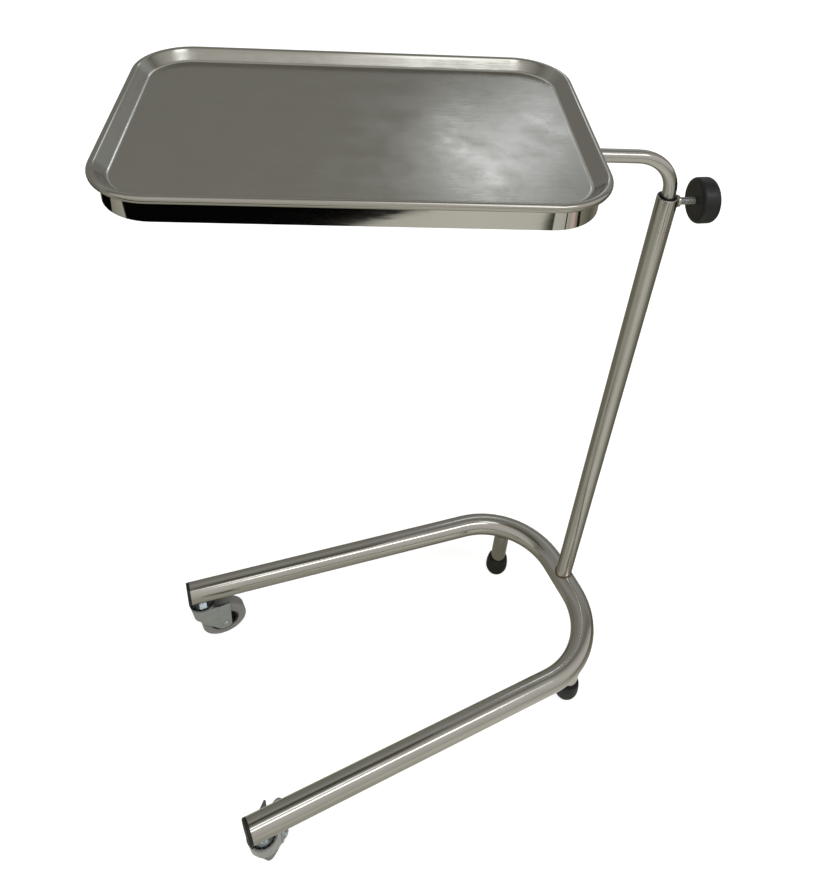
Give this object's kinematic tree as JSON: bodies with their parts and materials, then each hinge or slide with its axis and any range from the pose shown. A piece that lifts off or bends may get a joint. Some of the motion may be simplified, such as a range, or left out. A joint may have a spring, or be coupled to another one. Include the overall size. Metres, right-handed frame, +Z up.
{
  "type": "mayo instrument stand",
  "caption": "Height-adjustable instrument stand: lift-off tray in a flat-bar ring on a swivelling arm rod, clamped in a mast on a splayed U base with swivel casters and rubber feet.",
  "frame": {"origin": "on the floor, under the middle of the stand's bounding box in its stored pose", "axes": "+Z up; +X from the casters towards the mast; +Y to the left when looking from the casters' end away from the user, so that the stored tray is turned about 20 degrees towards +Y"},
  "size_m": [0.5998, 0.491, 0.8515],
  "materials": {
    "tube_polished": "polished stainless steel tube",
    "rod_polished": "polished stainless steel rod",
    "ring_mirror": "mirror-polished stainless steel flat bar",
    "tray_stainless": "brushed stainless steel sheet with a polished rolled edge",
    "zinc_plated": "bright zinc-plated steel",
    "ball_steel": "polished bearing steel",
    "pad_brass": "turned brass",
    "black_plastic": "moulded black plastic",
    "knob_plastic": "satin black moulded plastic",
    "hub_plastic": "black moulded plastic",
    "foot_rubber": "black rubber",
    "tyre_grey": "mid-grey non-marking rubber"
  },
  "bodies": {
    "base": {"base_tube": "tube_polished", "mast_tube": "tube_polished", "foot_stub_left": "tube_polished", "foot_stub_right": "tube_polished", "foot_left": "foot_rubber", "foot_right": "foot_rubber", "end_cap_left": "black_plastic", "end_cap_right": "black_plastic", "mast_bush": "black_plastic", "clamp_boss": "tube_polished", "stem_nut_left": "zinc_plated", "stem_nut_right": "zinc_plated", "caster_stem_left": "zinc_plated", "caster_stem_right": "zinc_plated"},
    "clamp_shoe": {"clamp_pad": "pad_brass"},
    "clamp_screw": {"clamp_stud": "zinc_plated", "knob_insert": "zinc_plated", "clamp_knob": "knob_plastic", "knob_cap": "knob_plastic"},
    "carrier": {"rod_guide": "black_plastic"},
    "arm": {"arm_rod": "rod_polished", "guide_washer": "zinc_plated", "guide_screw": "zinc_plated", "tray_ring": "ring_mirror"},
    "tray": {"tray": "tray_stainless"},
    "swivel_left": {"caster_fork_left": "zinc_plated", "caster_axle_left": "zinc_plated", "race_balls_left": "ball_steel"},
    "wheel_left": {"wheel_hub_left": "hub_plastic", "tyre_left": "tyre_grey"},
    "swivel_right": {"caster_fork_right": "zinc_plated", "caster_axle_right": "zinc_plated", "race_balls_right": "ball_steel"},
    "wheel_right": {"wheel_hub_right": "hub_plastic", "tyre_right": "tyre_grey"}
  },
  "joints": [
    {"name": "height_slide", "type": "slide", "parent": "base", "child": "carrier", "axis": [0, 0, 1], "range_m": [0, 0.3]},
    {"name": "arm_swivel", "type": "hinge", "parent": "carrier", "child": "arm", "pos_m": [0.2474, -0.0662, 0.77092], "axis": [0, 0, 1], "continuous": true},
    {"name": "tray_lift", "type": "slide", "parent": "arm", "child": "tray", "axis": [0, 0, 1], "range_m": [0, 0.06]},
    {"name": "clamp_feed", "type": "slide", "parent": "base", "child": "clamp_shoe", "axis": [0.9681, -0.2504, 0], "range_m": [0, 0.0026]},
    {"name": "clamp_turn", "type": "hinge", "parent": "clamp_shoe", "child": "clamp_screw", "pos_m": [0.2474, -0.0662, 0.76472], "axis": [0.9681, -0.2504, 0], "range_deg": [0, 720]},
    {"name": "swivel_left_turn", "type": "hinge", "parent": "base", "child": "swivel_left", "pos_m": [-0.24964, 0.0946, 0.08], "axis": [0, 0, 1], "continuous": true},
    {"name": "wheel_left_spin", "type": "hinge", "parent": "swivel_left", "child": "wheel_left", "pos_m": [-0.22221, 0.09652, 0.0325], "axis": [-0.0698, 0.9976, 0], "continuous": true},
    {"name": "swivel_right_turn", "type": "hinge", "parent": "base", "child": "swivel_right", "pos_m": [-0.24964, -0.227, 0.08], "axis": [0, 0, 1], "continuous": true},
    {"name": "wheel_right_spin", "type": "hinge", "parent": "swivel_right", "child": "wheel_right", "pos_m": [-0.23124, -0.20656, 0.0325], "axis": [-0.7431, 0.6691, 0], "continuous": true}
  ],
  "couplings": [
    {"joint": "clamp_feed", "follows": "clamp_turn", "m_per_rad": 0.00019894}
  ]
}
